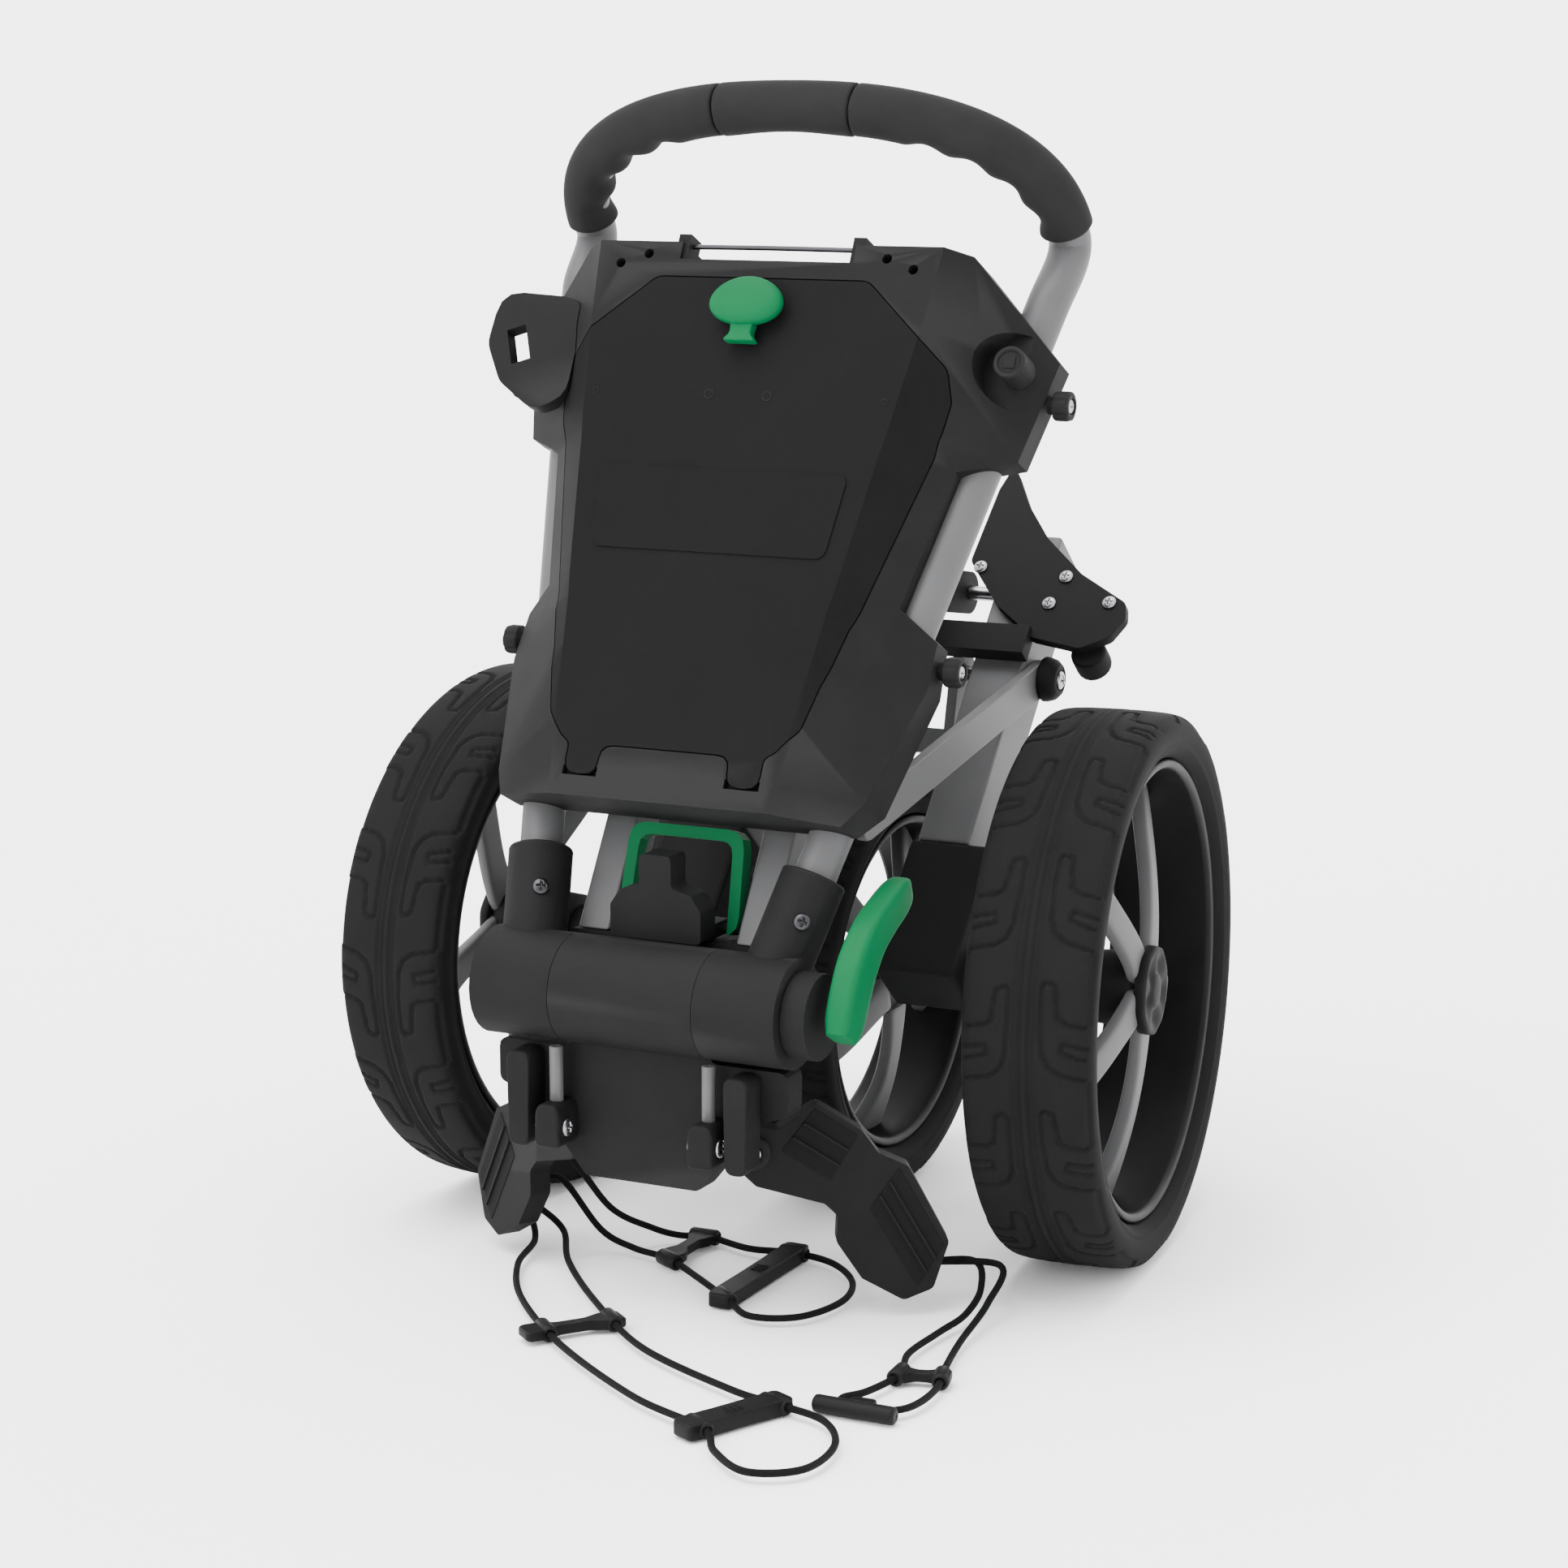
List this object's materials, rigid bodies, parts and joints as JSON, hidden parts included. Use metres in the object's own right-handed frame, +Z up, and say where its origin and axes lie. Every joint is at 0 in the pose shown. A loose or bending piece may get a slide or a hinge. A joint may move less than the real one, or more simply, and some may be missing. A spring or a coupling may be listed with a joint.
{
  "type": "folded golf push cart",
  "caption": "Golf bag push cart folded flat, standing on its wheels, with a hinged handle, a lidded console, bag wings, a fork-mounted front wheel and elastic bag straps.",
  "frame": {"origin": "on the floor, under the centre of the cart's box measured without its straps", "axes": "+X to the cart's left-hand clamp lever side (right in the front view), +Y from the console towards the rear legs, +Z up"},
  "size_m": [0.4322, 0.5596, 0.6129],
  "materials": {
    "charcoal_plastic": "fine-textured charcoal moulding",
    "lid_plastic": "satin near-black moulding",
    "grey_tube": "grey powder-coated aluminium tube and bar",
    "bright_steel": "bright steel pins and wire",
    "tyre_rubber": "moulded foam tyre",
    "soft_rubber": "matt rubber",
    "grip_foam": "soft matt grip",
    "green_plastic": "semi-gloss green moulding",
    "rim_plastic": "grey spokes in a dark rim",
    "black_net": "black mesh",
    "black_elastic": "black braided elastic cord"
  },
  "bodies": {
    "frame": {"centre_knuckle": "charcoal_plastic", "bag_wing_left": "charcoal_plastic", "bag_wing_right": "charcoal_plastic", "frame_rail_left": "grey_tube", "frame_rail_right": "grey_tube", "fold_bracket": "charcoal_plastic", "tie_rod_left": "grey_tube", "tie_rod_right": "grey_tube", "lock_block": "charcoal_plastic", "hinge_bolt": "bright_steel", "bungee_upper": "black_elastic", "bungee_lower": "black_elastic", "bungee_hook": "black_elastic", "bridge_upper": "charcoal_plastic", "buckle_upper": "charcoal_plastic", "bridge_lower": "charcoal_plastic", "buckle_lower": "charcoal_plastic", "bridge_hook": "charcoal_plastic", "hook_bar": "charcoal_plastic"},
    "handle": {"handle_joint_left": "charcoal_plastic", "handle_joint_right": "charcoal_plastic", "handle_tube": "grey_tube", "grip_left": "grip_foam", "grip_middle": "grip_foam", "grip_right": "grip_foam", "console": "charcoal_plastic", "clip_wire": "bright_steel", "accessory_ear": "charcoal_plastic", "accessory_post": "charcoal_plastic", "clamp_knob_upper_left": "charcoal_plastic", "clamp_knob_upper_right": "charcoal_plastic", "clamp_knob_lower_left": "charcoal_plastic", "clamp_knob_lower_right": "charcoal_plastic", "storage_net": "black_net"},
    "lid": {"lid": "lid_plastic"},
    "latch": {"latch_knob": "green_plastic"},
    "lever": {"clamp_lever": "green_plastic"},
    "bail": {"release_bail": "green_plastic"},
    "rear_frame": {"leg_tube_left": "grey_tube", "leg_tube_right": "grey_tube", "lower_bag_bracket": "charcoal_plastic", "bumper_left": "soft_rubber", "bumper_right": "soft_rubber", "axle_housing_left": "charcoal_plastic", "axle_housing_right": "charcoal_plastic", "fold_pin": "bright_steel", "fork_pin": "bright_steel", "pivot_cap_left": "charcoal_plastic", "pivot_cap_right": "charcoal_plastic"},
    "link_left": {"side_link_left": "grey_tube"},
    "link_right": {"side_link_right": "grey_tube"},
    "wheel_left": {"tyre_left": "tyre_rubber", "rim_left": "rim_plastic", "hub_cap_left": "charcoal_plastic"},
    "wheel_right": {"tyre_right": "tyre_rubber", "rim_right": "rim_plastic", "hub_cap_right": "charcoal_plastic"},
    "fork": {"front_fork": "grey_tube"},
    "front_wheel": {"tyre_front": "tyre_rubber", "rim_front": "rim_plastic"}
  },
  "joints": [
    {"name": "handle_angle", "type": "hinge", "parent": "frame", "child": "handle", "pos_m": [0, -0.17625, 0.166], "axis": [1, 0, 0], "range_deg": [0, 70]},
    {"name": "lid_hinge", "type": "hinge", "parent": "handle", "child": "lid", "pos_m": [0, -0.15722, 0.2726], "axis": [1, 0, 0], "range_deg": [0, 85]},
    {"name": "latch_turn", "type": "hinge", "parent": "lid", "child": "latch", "pos_m": [-0.002, -0.05183, 0.49875], "axis": [0, -0.9033, 0.4289], "range_deg": [-90, 0]},
    {"name": "clamp_lever_swing", "type": "hinge", "parent": "handle", "child": "lever", "pos_m": [0.111, -0.17625, 0.166], "axis": [0, 0.7682, -0.6402], "range_deg": [0, 110]},
    {"name": "release_bail_tilt", "type": "hinge", "parent": "frame", "child": "bail", "pos_m": [0, -0.13625, 0.1945], "axis": [1, 0, 0], "range_deg": [0, 20]},
    {"name": "main_fold", "type": "hinge", "parent": "frame", "child": "rear_frame", "pos_m": [0, 0.16043, 0.32804], "axis": [1, 0, 0], "range_deg": [0, 130]},
    {"name": "link_left_pivot", "type": "hinge", "parent": "rear_frame", "child": "link_left", "pos_m": [0, 0.12592, 0.28781], "axis": [1, 0, 0], "range_deg": [-14, 0]},
    {"name": "link_right_pivot", "type": "hinge", "parent": "rear_frame", "child": "link_right", "pos_m": [0, 0.12592, 0.28781], "axis": [1, 0, 0], "range_deg": [-14, 0]},
    {"name": "fork_fold", "type": "hinge", "parent": "rear_frame", "child": "fork", "pos_m": [0, 0.12592, 0.28781], "axis": [1, 0, 0], "range_deg": [0, 80]},
    {"name": "wheel_left_spin", "type": "hinge", "parent": "rear_frame", "child": "wheel_left", "pos_m": [-0.1695, 0.01775, 0.146], "axis": [0.9956, -0.0941, 0], "continuous": true},
    {"name": "wheel_right_spin", "type": "hinge", "parent": "rear_frame", "child": "wheel_right", "pos_m": [0.1695, 0.01775, 0.146], "axis": [0.9956, 0.0941, 0], "continuous": true},
    {"name": "front_wheel_spin", "type": "hinge", "parent": "fork", "child": "front_wheel", "pos_m": [0, 0.08575, 0.118], "axis": [1, 0, 0], "continuous": true}
  ],
  "couplings": [
    {"joint": "link_left_pivot", "follows": "main_fold", "ratio": -0.1},
    {"joint": "link_right_pivot", "follows": "main_fold", "ratio": -0.1}
  ]
}
